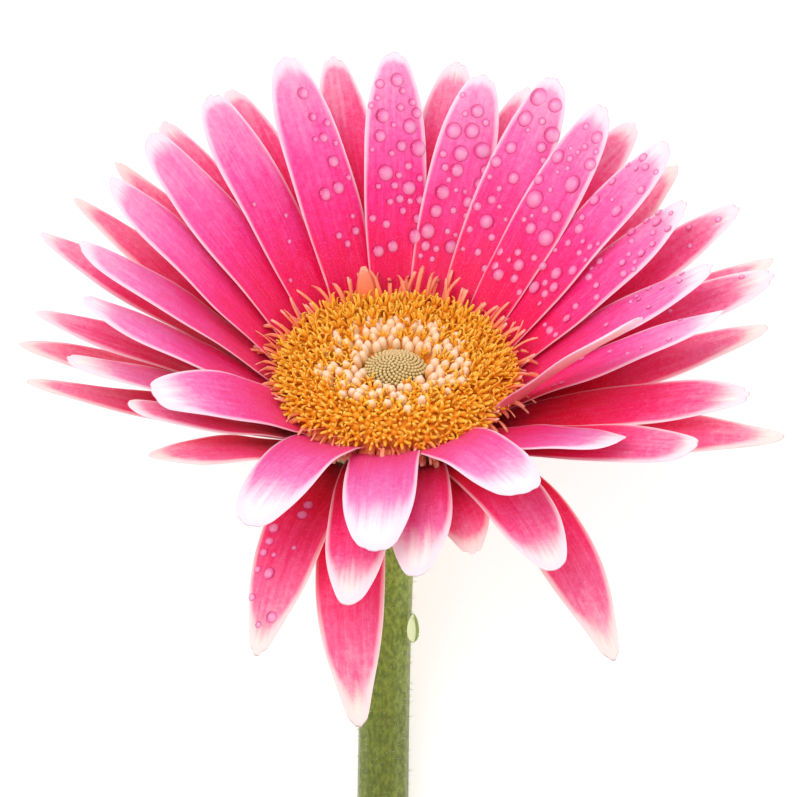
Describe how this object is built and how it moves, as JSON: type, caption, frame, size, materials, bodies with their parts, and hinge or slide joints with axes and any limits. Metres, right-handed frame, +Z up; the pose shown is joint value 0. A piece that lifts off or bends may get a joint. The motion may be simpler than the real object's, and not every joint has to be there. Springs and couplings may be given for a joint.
{
  "type": "cut gerbera flower",
  "caption": "Cut gerbera lying on its side: a pink daisy-like head with an orange disc, tilted on the neck of a long bare green stem.",
  "frame": {"origin": "middle of the bounding box, on the surface that the flower lies on", "axes": "+Z up from the surface; +Y along the flower towards its head, with the stem running along -Y; +X to the right as seen from above with the head at the top"},
  "size_m": [0.1094, 0.3628, 0.0643],
  "materials": {
    "ray_pink": "satin petal",
    "ray_rose": "satin petal",
    "ray_crimson": "satin petal",
    "bud_beige": "matte",
    "floret_pale": "matte",
    "floret_orange": "matte",
    "trans_coral": "satin petal",
    "bract_green": "matte, finely hairy",
    "stem_green": "satin, finely hairy",
    "water": "clear"
  },
  "bodies": {
    "root": {"ray_inner_01": "ray_pink", "ray_inner_02": "ray_pink", "ray_inner_03": "ray_pink", "ray_inner_04": "ray_pink", "ray_inner_05": "ray_pink", "ray_inner_06": "ray_pink", "ray_inner_07": "ray_pink", "ray_inner_08": "ray_pink", "ray_inner_09": "ray_pink", "ray_inner_10": "ray_pink", "ray_inner_11": "ray_pink", "ray_inner_12": "ray_pink", "ray_inner_13": "ray_pink", "ray_inner_14": "ray_pink", "ray_inner_15": "ray_pink", "ray_inner_16": "ray_pink", "ray_inner_17": "ray_pink", "ray_inner_18": "ray_pink", "ray_inner_19": "ray_pink", "ray_inner_20": "ray_pink", "ray_middle_01": "ray_rose", "ray_middle_02": "ray_rose", "ray_middle_03": "ray_rose", "ray_middle_04": "ray_rose", "ray_middle_05": "ray_rose", "ray_middle_06": "ray_rose", "ray_middle_07": "ray_rose", "ray_middle_08": "ray_rose", "ray_middle_09": "ray_rose", "ray_middle_10": "ray_rose", "ray_middle_11": "ray_rose", "ray_middle_12": "ray_rose", "ray_middle_13": "ray_rose", "ray_middle_14": "ray_rose", "ray_middle_15": "ray_rose", "ray_middle_16": "ray_rose", "ray_middle_17": "ray_rose", "ray_outer_01": "ray_crimson", "ray_outer_02": "ray_crimson", "ray_outer_03": "ray_crimson", "ray_outer_04": "ray_crimson", "ray_outer_05": "ray_crimson", "ray_outer_06": "ray_crimson", "ray_outer_07": "ray_crimson", "ray_outer_08": "ray_crimson", "ray_outer_09": "ray_crimson", "ray_outer_10": "ray_crimson", "ray_outer_11": "ray_crimson", "ray_outer_12": "ray_crimson", "ray_outer_13": "ray_crimson", "disc_buds": "bud_beige", "disc_florets_pale": "floret_pale", "disc_florets_orange": "floret_orange", "trans_florets": "trans_coral", "receptacle": "bract_green", "involucre_inner": "bract_green", "involucre_middle": "bract_green", "involucre_outer": "bract_green", "stem": "stem_green", "stem_droplet": "water"}
  },
  "joints": []
}
